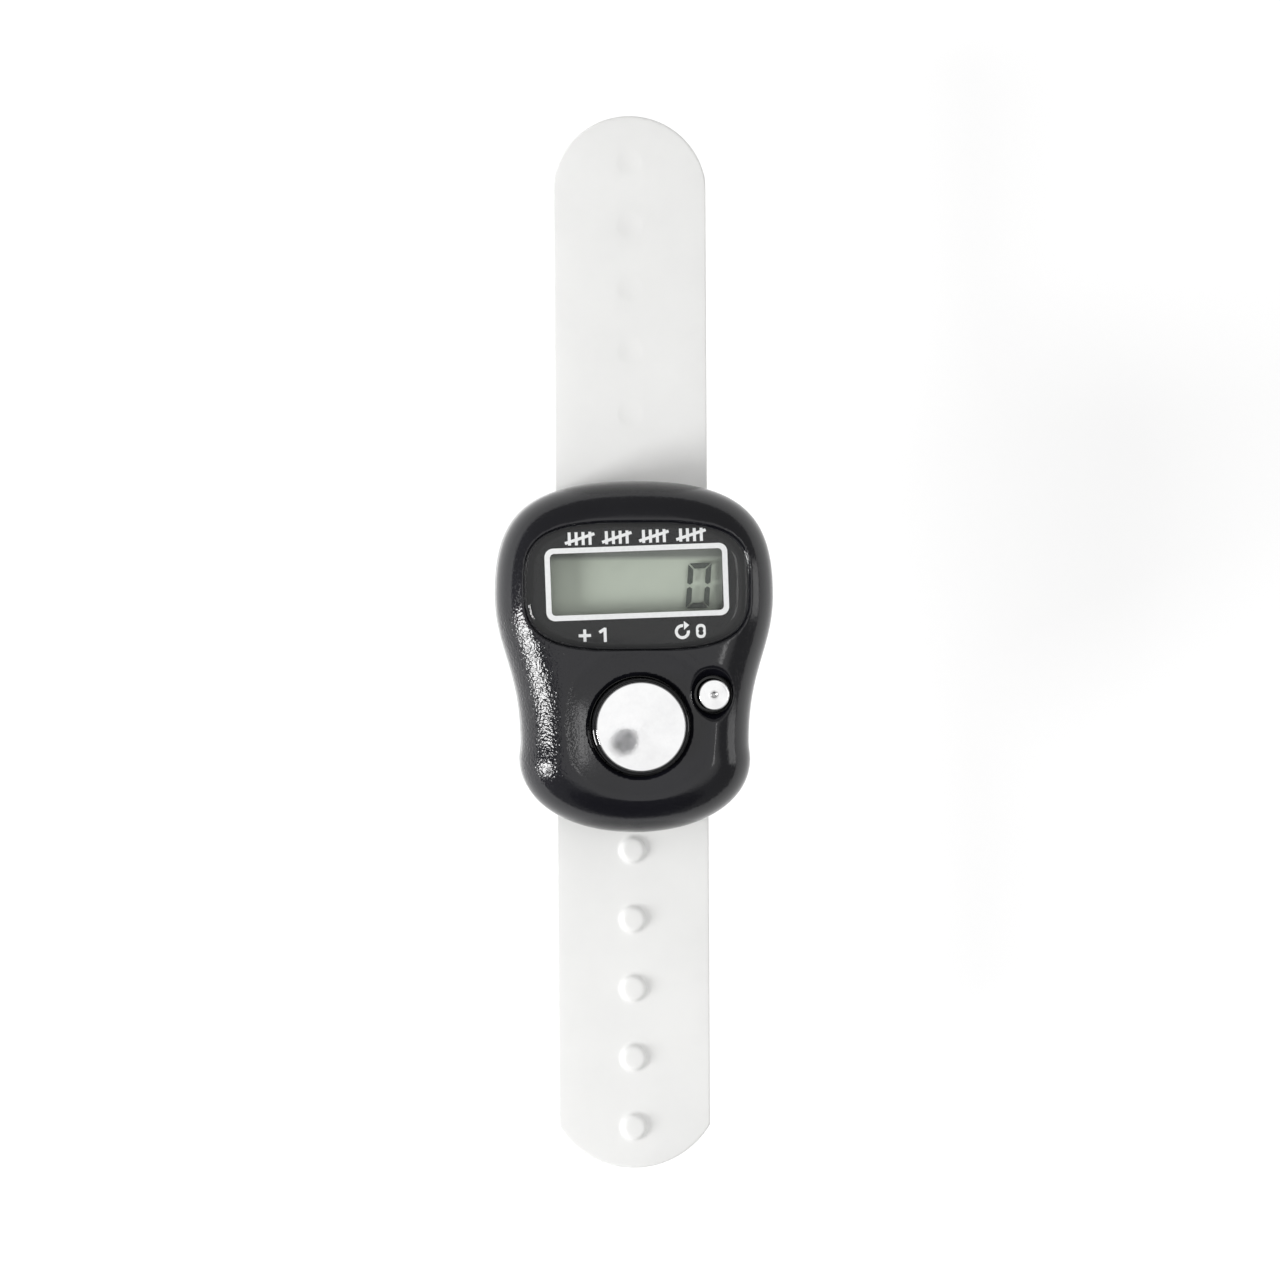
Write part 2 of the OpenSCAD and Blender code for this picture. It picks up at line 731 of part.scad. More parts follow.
module strap_piece(y0, y1) {
    color([0.92, 0.92, 0.9]) {
        difference() {
            ribbon(y0, y1);
            for (i = [0:4])
                let (y = socket_first + i * socket_pitch)
                if (y > y0 && y < y1) rod([0, y], socket_r, -1, strap_t - 0.3);
        }
        for (i = [0:4])
            let (y = stud_first - i * stud_pitch)
            if (y > y0 && y < y1) stud(y);
    }
}

module strap_centre() {
    strap_piece(-bend_start + hinge_gap, bend_start - hinge_gap);
}

module strap_upper(k) {
    far = k < 4 ? upper_hinges[k + 1] - hinge_gap : strap_up;
    if (k < 4) strap_piece(upper_hinges[k] + hinge_gap, far);
    else end_round(strap_up, 8.85) strap_piece(upper_hinges[k] + hinge_gap, far);
}

module strap_lower(k) {
    far = k < 4 ? lower_hinges[k + 1] + hinge_gap : -strap_down;
    if (k < 4) strap_piece(far, lower_hinges[k] - hinge_gap);
    else end_round(-strap_down, 10.2) strap_piece(far, lower_hinges[k] - hinge_gap);
}

module strap_upper_1() strap_upper(0);
module strap_upper_2() strap_upper(1);
module strap_upper_3() strap_upper(2);
module strap_upper_4() strap_upper(3);
module strap_upper_5() strap_upper(4);
module strap_lower_1() strap_lower(0);
module strap_lower_2() strap_lower(1);
module strap_lower_3() strap_lower(2);
module strap_lower_4() strap_lower(3);
module strap_lower_5() strap_lower(4);

// From the middle of the case to the middle of the whole length
module place() {
    translate([0, (strap_down - strap_up) / 2, 0]) children();
}

place() top_shell();
place() back_shell();
place() battery_door();
place() case_screws();
place() door_screw();
place() display_window();
place() display_mask();
place() white_print();
place() lcd_front_polariser();
place() lcd_front_glass();
place() lcd_segments();
place() lcd_rear_glass();
place() lcd_reflector();
place() zebra_connector();
place() circuit_board();
place() board_screws();
place() chip_epoxy();
place() chip_capacitors();
place() chip_resistor();
place() count_switch_base();
place() count_switch_dome();
place() count_switch_cover();
place() count_plunger();
place() count_button();
place() reset_switch_base();
place() reset_switch_dome();
place() reset_switch_cover();
place() reset_plunger();
place() reset_button();
place() button_cell();
place() positive_contact();
place() negative_contact();
place() strap_centre();
place() strap_upper_1();
place() strap_upper_2();
place() strap_upper_3();
place() strap_upper_4();
place() strap_upper_5();
place() strap_lower_1();
place() strap_lower_2();
place() strap_lower_3();
place() strap_lower_4();
place() strap_lower_5();
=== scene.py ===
import json
import math

import bpy
import numpy as np
from mathutils import Matrix, Vector


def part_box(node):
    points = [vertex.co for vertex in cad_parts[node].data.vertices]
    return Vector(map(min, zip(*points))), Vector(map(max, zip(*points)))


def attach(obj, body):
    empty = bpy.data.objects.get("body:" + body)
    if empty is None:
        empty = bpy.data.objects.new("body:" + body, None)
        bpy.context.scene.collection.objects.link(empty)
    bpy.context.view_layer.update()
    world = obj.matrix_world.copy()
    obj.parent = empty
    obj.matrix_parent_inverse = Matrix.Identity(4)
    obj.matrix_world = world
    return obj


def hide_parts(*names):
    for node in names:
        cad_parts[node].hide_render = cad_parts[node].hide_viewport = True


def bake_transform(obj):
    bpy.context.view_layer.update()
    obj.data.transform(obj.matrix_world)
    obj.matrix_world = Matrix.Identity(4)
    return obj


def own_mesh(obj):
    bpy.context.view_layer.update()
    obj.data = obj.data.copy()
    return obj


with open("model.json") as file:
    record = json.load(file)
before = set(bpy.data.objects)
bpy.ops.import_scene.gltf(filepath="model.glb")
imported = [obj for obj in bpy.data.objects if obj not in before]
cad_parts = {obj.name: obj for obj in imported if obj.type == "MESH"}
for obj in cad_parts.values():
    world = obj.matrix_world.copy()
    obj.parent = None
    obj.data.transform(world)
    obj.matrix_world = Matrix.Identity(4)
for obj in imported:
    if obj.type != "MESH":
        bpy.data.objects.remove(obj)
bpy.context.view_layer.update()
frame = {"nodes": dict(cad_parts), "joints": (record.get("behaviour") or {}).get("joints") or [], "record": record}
MM = 0.001

# ------------------------------------------------------------------ places taken from the frame
# The shapes below are worked out in millimetres from the middle of the case, as the CAD does.

shell_lo, shell_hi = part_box("top_shell")
Y_MID = (shell_lo.y + shell_hi.y) / 2 * 1000.0


def span(cad):
    """Lowest and highest corners of a CAD node, in mm from the middle of the case."""
    return [(p.x * 1000.0, p.y * 1000.0 - Y_MID, p.z * 1000.0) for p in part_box(cad)]


def centre(cad):
    """Where the middle of a CAD node lies, seen from above."""
    lo, hi = span(cad)
    return (lo[0] + hi[0]) / 2, (lo[1] + hi[1]) / 2


def top(cad):
    return span(cad)[1][2]


CASE_W = (shell_hi.x - shell_lo.x) * 1000.0
CASE_L = (shell_hi.y - shell_lo.y) * 1000.0
PART_Z = shell_lo.z * 1000.0  # where the two shells meet
KEY, KEY_TOP = centre("count_button"), top("count_button")
RKEY, RKEY_TOP = centre("reset_button"), top("reset_button")
WIN = centre("display_window")
WIN_Z0, WIN_Z1 = span("display_window")[0][2], top("display_window")
WIN_POWER = 3.3  # roundness of the window's outline: 2 is an ellipse, more is squarer
LCD = (0.0, 8.6)  # middle of the display cell
SCREWS = [(0.0, 15.7), (0.0, -16.35)]  # the two case screws

# ------------------------------------------------------------------ shader helpers


def new_mat(name):
    m = bpy.data.materials.new(name)
    m.use_nodes = True
    for n in list(m.node_tree.nodes):
        m.node_tree.nodes.remove(n)
    return m, m.node_tree


def close(m, nt, shader):
    """Joins the finished shader to the material's output."""
    out = nt.nodes.new("ShaderNodeOutputMaterial")
    nt.links.new(shader.outputs[0], out.inputs["Surface"])
    return m


def feed(nt, value, socket):
    """Puts a number, a colour or another node's output into a socket."""
    if isinstance(value, bpy.types.NodeSocket):
        nt.links.new(value, socket)
    else:
        socket.default_value = value


def node(nt, kind, **values):
    """A new node with its input sockets, or its own settings, given by name. In a name, _ stands for a space."""
    n = nt.nodes.new(kind)
    for name, value in values.items():
        socket = name.replace("_", " ")
        if socket in n.inputs:
            feed(nt, value, n.inputs[socket])
        else:
            setattr(n, name, value)
    return n


def calc(nt, operation, *values):
    n = node(nt, "ShaderNodeMath", operation=operation)
    for socket, value in zip(n.inputs, values):
        feed(nt, value, socket)
    return n.outputs[0]


def vector(nt, operation, *values):
    """A step of vector arithmetic. A length or a dot product comes from its last output."""
    n = node(nt, "ShaderNodeVectorMath", operation=operation)
    for socket, value in zip(n.inputs, values):
        feed(nt, value, socket)
    return n.outputs["Value" if operation in ("LENGTH", "DOT_PRODUCT") else "Vector"]


def here(nt, output="Object"):
    return nt.nodes.new("ShaderNodeTexCoord").outputs[output]


def xyz(nt):
    """The point's own coordinates in the shared frame, in metres."""
    n = nt.nodes.new("ShaderNodeSeparateXYZ")
    nt.links.new(here(nt), n.inputs[0])
    return n.outputs


def noise(nt, scale, detail=3.0, rough=0.5):
    n = node(nt, "ShaderNodeTexNoise", Vector=here(nt), Scale=scale, Detail=detail, Roughness=rough)
    return n.outputs["Fac"]


def remap(nt, src, lo, hi, from_lo=0.3, from_hi=0.7):
    n = node(nt, "ShaderNodeMapRange", Value=src, From_Min=from_lo, From_Max=from_hi, To_Min=lo, To_Max=hi)
    return n.outputs["Result"]


def relief(nt, height, mm):
    """A normal bent by a height, of which 1 stands for so many mm."""
    return node(nt, "ShaderNodeBump", Height=height, Strength=1.0, Distance=mm * MM).outputs["Normal"]


def ramp(nt, src, stops, interpolation="LINEAR"):
    """Colours along a value. A stop is a position and a colour, or a number for a grey."""
    r = nt.nodes.new("ShaderNodeValToRGB")
    r.color_ramp.interpolation = interpolation
    stops = [(at, (*(c if isinstance(c, tuple) else (c,) * 3), 1)) for at, c in stops]
    ends = r.color_ramp.elements
    for end, (at, colour) in zip((ends[0], ends[1]), (stops[0], stops[-1])):
        end.position, end.color = at, colour
    for at, colour in stops[1:-1]:
        ends.new(at).color = colour
    nt.links.new(src, r.inputs["Fac"])
    return r.outputs["Color"]


def two_tone(nt, src, a, b, from_lo=0.3, from_hi=0.7):
    return ramp(nt, src, [(from_lo, a), (from_hi, b)])


def mix_colour(nt, a, b, factor=1.0, how="MIX"):
    n = node(nt, "ShaderNodeMix", data_type="RGBA", blend_type=how, Factor=factor)
    feed(nt, a, n.inputs[6])
    feed(nt, b, n.inputs[7])
    return n.outputs[2]


def mix_shader(nt, a, b, share):
    n = nt.nodes.new("ShaderNodeMixShader")
    for socket, value in zip(n.inputs, (share, a.outputs[0], b.outputs[0])):
        feed(nt, value, socket)
    return n


# ------------------------------------------------------------------ materials


def principled(name, a, b, metallic=0.0, rough=(0.3, 0.4), scale=1500.0, bump_scale=4000.0, bump_mm=0.0, coat=0.0):
    """A solid surface: colour drifting between a and b, roughness drifting in its range, and a fine relief."""
    m, nt = new_mat(name)
    drift = noise(nt, scale, 4.0, 0.6)
    p = node(nt, "ShaderNodeBsdfPrincipled", Metallic=metallic, IOR=1.45, Coat_Weight=coat, Coat_Roughness=0.05,
             Base_Color=two_tone(nt, drift, a, b), Roughness=remap(nt, drift, *rough))
    if bump_mm:
        feed(nt, relief(nt, noise(nt, bump_scale, 3.0, 0.5), bump_mm), p.inputs["Normal"])
    return close(m, nt, p)


def glossy_black():
    """Injection-moulded black plastic: a glossy skin with faint flow marks. On the left shoulder, where a finger
    rubs, it is speckled with dust and dull spots that break up the highlight."""
    m, nt = new_mat("black_abs_gloss")
    x, y, _ = xyz(nt)
    rubbed = remap(nt, x, 1.0, 0.0, -8.8 * MM, -6.6 * MM)
    for edge in (remap(nt, y, 1.0, 0.0, (4.0 + Y_MID) * MM, (6.5 + Y_MID) * MM),
                 remap(nt, y, 0.0, 1.0, (-15.0 + Y_MID) * MM, (-12.6 + Y_MID) * MM)):
        rubbed = calc(nt, "MULTIPLY", rubbed, edge)
    calm = noise(nt, 3800.0, 3.0, 0.6)
    dust = noise(nt, 2600.0, 4.0, 0.78)
    grain = noise(nt, 3300.0, 1.0, 0.5)
    slow = noise(nt, 240.0, 2.0, 0.5)
    rough = node(nt, "ShaderNodeMix", Factor=rubbed)
    feed(nt, remap(nt, calm, 0.09, 0.26, 0.48, 0.66), rough.inputs[2])
    feed(nt, remap(nt, dust, 0.06, 0.4, 0.55, 0.63), rough.inputs[3])
    height = calc(nt, "MULTIPLY_ADD", slow, 0.022, calc(nt, "MULTIPLY", calm, 0.008))
    height = calc(nt, "MULTIPLY_ADD", grain, calc(nt, "MULTIPLY", rubbed, 0.078), height)
    tone = two_tone(nt, noise(nt, 120.0, 3.0, 0.55), (0.0040, 0.0040, 0.0060), (0.0062, 0.0062, 0.0090))
    p = node(nt, "ShaderNodeBsdfPrincipled", IOR=1.5, Base_Color=tone, Roughness=rough.outputs[0],
             Normal=relief(nt, height, 1.0))
    return close(m, nt, p)


def silicone():
    """Milky silicone: light comes through it, with soft cloudiness, a satin skin and fine mould grain."""
    m, nt = new_mat("milky_silicone")
    colour = two_tone(nt, noise(nt, 90.0, 4.0, 0.6), (0.885, 0.885, 0.878), (0.91, 0.91, 0.902), 0.35, 0.65)
    fine = noise(nt, 3000.0, 2.0, 0.5)
    p = node(nt, "ShaderNodeBsdfPrincipled", IOR=1.41, Base_Color=colour, Roughness=remap(nt, fine, 0.32, 0.46),
             Normal=relief(nt, fine, 0.004))
    t = node(nt, "ShaderNodeBsdfTranslucent", Color=colour)
    return close(m, nt, mix_shader(nt, p, t, 0.4))


def clear_sheet(name, tint, gloss, rough):
    """A thin clear layer: what is behind it shows unbent, and its skin mirrors a little, more at a slant."""
    m, nt = new_mat(name)
    t = node(nt, "ShaderNodeBsdfTransparent", Color=(*tint, 1))
    g = node(nt, "ShaderNodeBsdfGlossy", Color=(1, 1, 1, 1),
             Roughness=remap(nt, noise(nt, 900.0, 2.0, 0.5), rough * 0.7, rough * 1.6))
    facing = node(nt, "ShaderNodeLayerWeight", Blend=0.5).outputs["Facing"]
    share = calc(nt, "MULTIPLY_ADD", calc(nt, "POWER", facing, 5.0), 1.0 - gloss, gloss)
    return close(m, nt, mix_shader(nt, t, g, share))


def spun_chrome(name, axis, skirt, rough, rings):
    """Bright plating over a turned face: painted sheen in sectors round the key's own axis, faint rings, and a
    speckle of wear.
    Below the height called skirt, in mm, the plating gives way to the bare black plunger."""
    m, nt = new_mat(name)
    ring_pitch, sheen_sectors = 0.16, [(0.0, 1.0), (0.12, 0.98), (0.3, 0.93), (0.42, 0.98), (0.58, 0.95), (0.72, 0.99),
                                 (0.86, 1.0), (1.0, 1.0)]
    fine = noise(nt, 5200.0, 2.0, 0.6)
    away = vector(nt, "SUBTRACT", here(nt), (axis[0] * MM, (axis[1] + Y_MID) * MM, 0.0))
    away = vector(nt, "MULTIPLY", away, (1.0, 1.0, 0.0))
    turn = node(nt, "ShaderNodeTexGradient", gradient_type="RADIAL", Vector=away).outputs["Fac"]
    plate = two_tone(nt, noise(nt, 700.0, 4.0, 0.65), (0.89, 0.89, 0.895), (0.95, 0.95, 0.95))
    # Painted sheen: the plating colour is lightened and darkened in sectors round the axis, standing in for the
    # highlights of a turned face.
    plate = mix_colour(nt, plate, ramp(nt, turn, sheen_sectors, "EASE"), how="MULTIPLY")
    plated = remap(nt, xyz(nt)["Z"], 0.0, 1.0, (skirt - 0.03) * MM, (skirt + 0.03) * MM)
    wave = calc(nt, "MULTIPLY", vector(nt, "LENGTH", away), 2 * math.pi / (ring_pitch * MM))
    height = calc(nt, "MULTIPLY_ADD", fine, 8.0, calc(nt, "SINE", wave))
    p = node(nt, "ShaderNodeBsdfPrincipled", IOR=1.5, Metallic=plated, Roughness=remap(nt, fine, *rough),
             Base_Color=mix_colour(nt, (0.007, 0.007, 0.008, 1), plate, plated), Normal=relief(nt, height, rings))
    return close(m, nt, p)


def lcd_backing():
    """Grey-green reflective film with a fine grain. Painted shade: a darker band along the top and right edges
    stands in for the shadow of the pocket's walls.
    """
    m, nt = new_mat("lcd_reflector")
    grain = noise(nt, 260.0, 4.0, 0.6)
    film = two_tone(nt, grain, (0.49, 0.53, 0.468), (0.535, 0.575, 0.508))
    x, y, _ = xyz(nt)
    # Painted shade: the film darkens towards its top and right edges, where the pocket's walls throw shadow.
    painted_shade_band = calc(nt, "MAXIMUM",
                remap(nt, y, 0.0, 0.75, (LCD[1] + Y_MID + 2.35) * MM, (LCD[1] + Y_MID + 2.95) * MM),
                remap(nt, x, 0.0, 0.45, 9.0 * MM, 9.45 * MM))
    p = node(nt, "ShaderNodeBsdfPrincipled", IOR=1.4, Roughness=remap(nt, grain, 0.45, 0.6),
             Base_Color=mix_colour(nt, film, (0.11, 0.11, 0.115, 1), painted_shade_band),
             Normal=relief(nt, noise(nt, 5000.0, 3.0, 0.5), 0.004))
    return close(m, nt, p)


def printed(name, colour, rough):
    """Screen-printed ink: nearly even, with a slight tooth."""
    return principled(name, tuple(c * 0.9 for c in colour), colour, rough=(rough * 0.9, rough * 1.2), scale=3000.0,
                      bump_scale=6000.0, bump_mm=0.002)


# Each material goes by the name of its slot in the record.
MAT = {
    "black_abs": glossy_black(),
    "black_abs_satin": principled("black_abs_satin", (0.018, 0.018, 0.019), (0.028, 0.028, 0.03), rough=(0.38, 0.5),
                                  scale=900.0, bump_scale=5000.0, bump_mm=0.012),
    "screw_steel": principled("zinc_screw", (0.42, 0.42, 0.43), (0.6, 0.6, 0.6), metallic=1.0, rough=(0.25, 0.42),
                              scale=2500.0, bump_mm=0.01),
    "switch_steel": principled("switch_steel", (0.55, 0.55, 0.54), (0.68, 0.68, 0.67), metallic=1.0,
                               rough=(0.22, 0.34), scale=1800.0, bump_mm=0.006),
    "clear_window": clear_sheet("window_acrylic", (0.985, 0.99, 0.99), 0.014, 0.05),
    "black_print": printed("black_print", (0.006, 0.006, 0.0065), 0.35),
    "white_ink": printed("white_ink", (0.88, 0.88, 0.88), 0.5),
    "polariser": clear_sheet("polariser_film", (0.985, 0.99, 0.98), 0.006, 0.1),
    "lcd_glass": clear_sheet("lcd_glass", (0.985, 0.99, 0.985), 0.006, 0.05),
    "lcd_ink": principled("lcd_ink", (0.05, 0.06, 0.052), (0.07, 0.08, 0.07)),
    "reflector": lcd_backing(),
    "zebra_rubber": principled("zebra_rubber", (0.55, 0.27, 0.3), (0.66, 0.36, 0.4), rough=(0.6, 0.75)),
    "board_green": principled("solder_mask", (0.012, 0.10, 0.035), (0.02, 0.15, 0.055), rough=(0.25, 0.38),
                              bump_mm=0.01, coat=0.3),
    "epoxy_black": principled("epoxy_glob", (0.008, 0.008, 0.008), (0.014, 0.014, 0.014), rough=(0.12, 0.25),
                              bump_scale=900.0, bump_mm=0.03),
    "capacitor_tan": principled("ceramic_tan", (0.36, 0.25, 0.15), (0.46, 0.34, 0.22), rough=(0.4, 0.55)),
    "plated_chrome": spun_chrome("key_chrome", KEY, KEY_TOP - 0.4, (0.012, 0.03), 0.00006),
    "cell_steel": principled("cell_steel", (0.6, 0.6, 0.6), (0.72, 0.72, 0.72), metallic=1.0, rough=(0.18, 0.3)),
    "contact_brass": principled("spring_brass", (0.6, 0.5, 0.3), (0.72, 0.62, 0.4), metallic=1.0,
                                rough=(0.2, 0.35)),
    "silicone": silicone(),
}
RESET_CHROME = spun_chrome("reset_chrome", RKEY, RKEY_TOP - 0.3, (0.05, 0.1), 0.0001)

for sub in frame["record"]["subparts"]:
    o = frame["nodes"].get(sub["node"])
    if o is not None:
        o.data.materials.clear()
        o.data.materials.append(MAT[sub["material_slot"]])

# ------------------------------------------------------------------ mesh helpers


def make_object(name, verts_mm, faces, material, smooth=True):
    """An object from points in mm about the middle of the case. Nothing goes below the rest face."""
    v = np.asarray(verts_mm, np.float64) * MM
    v[:, 1] += Y_MID * MM
    v[:, 2] = np.maximum(v[:, 2], 0.0)
    me = bpy.data.meshes.new(name)
    me.from_pydata(v.tolist(), [], [tuple(int(i) for i in f) for f in faces])
    me.update()
    if smooth:
        me.polygons.foreach_set("use_smooth", np.ones(len(me.polygons), dtype=bool))
    me.materials.append(material)
    o = bpy.data.objects.new(name, me)
    bpy.context.scene.collection.objects.link(o)
    return o


def fit(piece, body, slot, *cad):
    """A piece rides on a body, and the CAD nodes it stands for are hidden. The slot is not used."""
    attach(piece, body)
    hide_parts(*cad)


# A shape is a function of x, y and z that gives about how far outside it a point is, in mm.


def smax(a, b, k):
    """The greater of two, with the crease between them rounded over k mm. It joins two limits into one shape."""
    return np.maximum(a, b) + np.maximum(k - np.abs(a - b), 0.0) ** 2 / (4.0 * k)


def smin(a, b, k):
    """Two shapes welded, with a fillet of about k mm."""
    return -smax(-a, -b, k)


def cut(f, tool, k=0.12):
    """A shape with another taken out of it, and its edge rounded."""
    return smax(f, -tool, k)


def slab(p, lo, hi):
    return np.maximum(lo - p, p - hi)


def block(x, y, z, x0, x1, y0, y1, z0, z1):
    return np.maximum(np.maximum(slab(x, x0, x1), slab(y, y0, y1)), slab(z, z0, z1))


def bored(x, y, at, r):
    return np.hypot(x - at[0], y - at[1]) - r


def cell_points(F, lo, step):
    """One point in each grid cell that the surface crosses, at the mean of its edge crossings."""
    n = np.array(F.shape)
    inside = F < 0
    count = np.zeros(tuple(n - 1), np.int8)
    for i in (0, 1):
        for j in (0, 1):
            for k in (0, 1):
                count += inside[i:n[0] - 1 + i, j:n[1] - 1 + j, k:n[2] - 1 + k]
    active = (count > 0) & (count < 8)
    cells = np.argwhere(active)
    index = np.full(tuple(n - 1), -1, np.int64)
    index[active] = np.arange(len(cells))
    total, found = np.zeros((len(cells), 3)), np.zeros(len(cells))
    for a in range(3):
        b, c = [i for i in range(3) if i != a]
        for ob in (0, 1):
            for oc in (0, 1):
                near = np.zeros(3, int)
                near[b], near[c] = ob, oc
                far = near.copy()
                far[a] = 1
                fp, fq = (F[tuple((cells + end).T)] for end in (near, far))
                m = (fp < 0) != (fq < 0)
                t = np.where(m, fp / np.where(m, fp - fq, 1.0), 0.0)
                total[m] += (near + t[:, None] * (far - near))[m]
                found[m] += 1
    return lo + (cells + total / found[:, None]) * step, index


def cell_quads(inside, index):
    """A quad round each grid edge that the surface crosses, facing out."""
    n, quads = inside.shape, []
    for a in range(3):
        b, c = (a + 1) % 3, (a + 2) % 3
        first = inside.take(range(0, n[a] - 1), axis=a)
        second = inside.take(range(1, n[a]), axis=a)
        e = np.argwhere(first != second)
        e = e[(e[:, b] > 0) & (e[:, c] > 0) & (e[:, b] < n[b] - 1) & (e[:, c] < n[c] - 1)]
        ub, uc = np.zeros(3, int), np.zeros(3, int)
        ub[b], uc[c] = 1, 1
        quad = np.stack([index[tuple(q.T)] for q in (e - ub - uc, e - uc, e, e - ub)], 1)
        solid = first[tuple(e.T)]
        quad[~solid] = quad[~solid][:, ::-1]
        quads.append(quad)
    quads = np.concatenate(quads)
    return quads[(quads >= 0).all(1)]


def settle(func, v, reach, rounds=4, h=1e-3):
    """Slides points onto the surface by a few Newton steps, none farther than reach from its start."""
    start = v.copy()
    for _ in range(rounds):
        f0 = func(v[:, 0], v[:, 1], v[:, 2])
        g = np.stack([(func(v[:, 0] + h * (i == 0), v[:, 1] + h * (i == 1), v[:, 2] + h * (i == 2)) - f0) / h
                      for i in range(3)], 1)
        move = -(f0 / np.maximum((g ** 2).sum(1), 0.05))[:, None] * g
        size = np.linalg.norm(move, axis=1)
        move *= np.minimum(1.0, 0.5 * reach / np.maximum(size, 1e-9))[:, None]
        v = start + np.clip(v + move - start, -reach, reach)
    return v


def nets(func, lo, hi, step):
    """The surface of a shape as points and quads, found on a grid from lo to hi."""
    lo, hi, step = np.array(lo, float), np.array(hi, float), np.array(step, float)
    n = np.ceil((hi - lo) / step).astype(int) + 1
    x, y, z = (lo[i] + step[i] * np.arange(n[i]) for i in range(3))
    F = func(x[:, None, None], y[None, :, None], z[None, None, :])
    F = np.broadcast_to(F, tuple(n)).astype(np.float32)
    v, index = cell_points(F, lo, step)
    return settle(func, v, float(step.max()) * 0.8), cell_quads(F < 0, index)


def moulding(name, shape, box, step, slot, cad):
    """A piece of the case, moulded from a shape. Its grid is a little finer in height."""
    v, q = nets(shape, *box, (step, step, step * 0.9))
    fit(make_object(name, v, q, MAT[slot]), "case", slot, cad)


# ------------------------------------------------------------------ outline of the case

HALF_W, HALF_L = CASE_W / 2, CASE_L / 2
WAIST, HIP = 12.95, 13.1  # half widths beside the keys, and below them
WIDE_Y, WAIST_Y, HIP_Y = 7.1, -9.8, -11.6  # where the case is widest, at its waist, and at its hip
ARCS = [
    [(0, HALF_L), (0.4 * CASE_W, HALF_L), (HALF_W, WIDE_Y + 8.6), (HALF_W, WIDE_Y)],
    [(HALF_W, WIDE_Y), (HALF_W, WIDE_Y - 6.2), (WAIST, WAIST_Y + 8.5), (WAIST, WAIST_Y)],
    [(WAIST, WAIST_Y), (WAIST, WAIST_Y - 0.6), (HIP, HIP_Y + 0.6), (HIP, HIP_Y)],
    [(HIP, HIP_Y), (HIP, HIP_Y - 5.0), (0.58 * HIP, -HALF_L), (0, -HALF_L)],
]
EDGE_STEPS, STRIDE, SMOOTH = 2400, 24, 30


def bezier(p, t):
    p, u = np.asarray(p, float), 1 - t
    weights = (u ** 3, 3 * u * u * t, 3 * u * t * t, t ** 3)
    return sum(w[:, None] * q for w, q in zip(weights, p))


def half_outline():
    """Points at even steps down the right half of the outline, and the way out of the case at each."""
    path = np.concatenate([bezier(a, np.linspace(0, 1, 800)[:-1]) for a in ARCS] + [np.array([[0.0, -HALF_L]])])
    run = np.concatenate([[0], np.cumsum(np.linalg.norm(np.diff(path, axis=0), axis=1))])
    even = np.linspace(0, run[-1], EDGE_STEPS + 1)
    edge = np.stack([np.interp(even, run, path[:, i]) for i in (0, 1)], 1)
    along = np.gradient(edge, axis=0)
    along[0], along[-1] = (1, 0), (-1, 0)
    kernel = np.ones(2 * SMOOTH + 1) / (2 * SMOOTH + 1)
    along = np.stack([np.convolve(np.pad(along[:, i], SMOOTH, mode="edge"), kernel, mode="valid")
                      for i in (0, 1)], 1)
    along /= np.linalg.norm(along, axis=1)[:, None]
    return edge, np.stack([-along[:, 1], along[:, 0]], 1)


EDGE, OUTWARD = half_outline()
COARSE = np.arange(0, EDGE_STEPS + 1, STRIDE)


def inset(x, y, chunk=20000):
    """How far inside the case's outline a point is, in mm; negative outside."""
    shape = np.broadcast(x, y).shape
    px = np.abs(np.broadcast_to(x, shape).reshape(-1))
    py = np.broadcast_to(y, shape).reshape(-1)
    out = np.empty(len(px))
    for s in range(0, len(px), chunk):
        qx, qy = px[s:s + chunk], py[s:s + chunk]
        d = (qx[:, None] - EDGE[COARSE, 0]) ** 2 + (qy[:, None] - EDGE[COARSE, 1]) ** 2
        near = COARSE[d.argmin(1)][:, None] + np.arange(-STRIDE - 2, STRIDE + 3)[None, :]
        near = np.clip(near, 0, EDGE_STEPS)
        d = (qx[:, None] - EDGE[near, 0]) ** 2 + (qy[:, None] - EDGE[near, 1]) ** 2
        i = np.take_along_axis(near, d.argmin(1)[:, None], 1)[:, 0]
        out[s:s + chunk] = -((np.stack([qx, qy], 1) - EDGE[i]) * OUTWARD[i]).sum(1)
    return out.reshape(shape)


# ------------------------------------------------------------------ top shell

REACH, RISE, SIDE_Z = 7.0, 6.0, 7.2  # the shoulder: how far in and how high it curves, and where it starts
WALL, CEILING = 1.5, 10.5  # thickness of the shell, and the top of its hollow
DISH_R, DISH_Z = 34.0, 11.9  # the shallow dish round the count key: its radius and its lowest point
WELL_Z = 9.0  # how far down the openings in the top are cut
CELL_HALF, CELL_TOP = (11.7, 5.4), 10.9  # pocket for the display cell
VIEW_HALF = (9.75, 3.75)  # opening over the cell
LENS_HALF, LENS_SEAT = (12.8, 7.27), 11.85  # recess for the window
STEP_R, STEP_Z, KEY_HOLE = 5.95, 12.32, 5.7  # step and hole round the count key
RKEY_HOLE, RKEY_FLARE_Z, RKEY_ROOM = 2.15, 12.05, 2.9  # hole, flare and room for the flange of the reset key


def crown(d, z):
    """The domed outside of the top shell, from the inset d and the height."""
    u = np.clip(1 - d / REACH, 0, None)
    w = np.clip((z - SIDE_Z) / RISE, 0, None)
    slope = np.hypot(2.6 * u ** 1.6 / REACH, 1.9 * w ** 0.9 / RISE)
    return (u ** 2.6 + w ** 1.9 - 1) / np.maximum(slope, 0.12)


